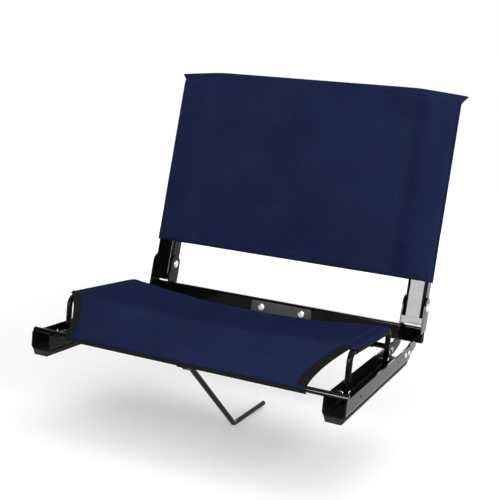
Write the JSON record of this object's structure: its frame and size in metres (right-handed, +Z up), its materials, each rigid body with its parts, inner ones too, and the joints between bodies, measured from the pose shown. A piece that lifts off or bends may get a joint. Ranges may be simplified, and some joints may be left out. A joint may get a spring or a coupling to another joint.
{
  "type": "folding stadium seat",
  "caption": "Low folding stadium seat: canvas seat and reclined canvas back on a black steel frame with rubber-soled channel rails and a rod hook that catches under a bench.",
  "frame": {"origin": "middle of the seat between the rails, on the plane the rubber soles stand on", "axes": "+X to the right seen from the front, +Y backwards, +Z up"},
  "size_m": [0.4924, 0.431, 0.5276],
  "materials": {
    "frame_black": "gloss black powder coat",
    "bright_steel": "bright zinc plate",
    "sole_rubber": "matt moulded rubber",
    "navy_canvas": "plain-weave navy canvas",
    "black_tape": "woven black tape",
    "grip_plastic": "fine grained black plastic"
  },
  "bodies": {
    "base": {"rail_left": "frame_black", "rail_right": "frame_black", "hinge_bracket_left": "frame_black", "hinge_bracket_right": "frame_black", "rear_crossbar": "frame_black", "seat_hoop_left": "frame_black", "seat_hoop_right": "frame_black", "front_rod": "frame_black", "rear_cross_rod": "frame_black", "hook_clevis": "frame_black", "bracket_rivets": "bright_steel", "pivot_rivet_left": "bright_steel", "pivot_rivet_right": "bright_steel", "grip_rivets": "bright_steel", "hoop_rivets": "bright_steel", "hook_pin": "bright_steel", "foot_strip_left": "sole_rubber", "foot_strip_right": "sole_rubber", "seat_canvas": "navy_canvas", "seat_binding_left": "black_tape", "seat_binding_right": "black_tape", "grip_plate_front": "grip_plastic", "grip_plate_rear": "grip_plastic"},
    "backrest": {"upright_left": "frame_black", "upright_right": "frame_black", "back_canvas": "navy_canvas"},
    "hook": {"hook": "frame_black"}
  },
  "joints": [
    {"name": "backrest_fold", "type": "hinge", "parent": "base", "child": "backrest", "pos_m": [0, 0.176, 0.084], "axis": [1, 0, 0], "range_deg": [0, 97]},
    {"name": "hook_swing", "type": "hinge", "parent": "base", "child": "hook", "pos_m": [0, -0.16, 0.032], "axis": [1, 0, 0], "range_deg": [0, 31.8]}
  ]
}
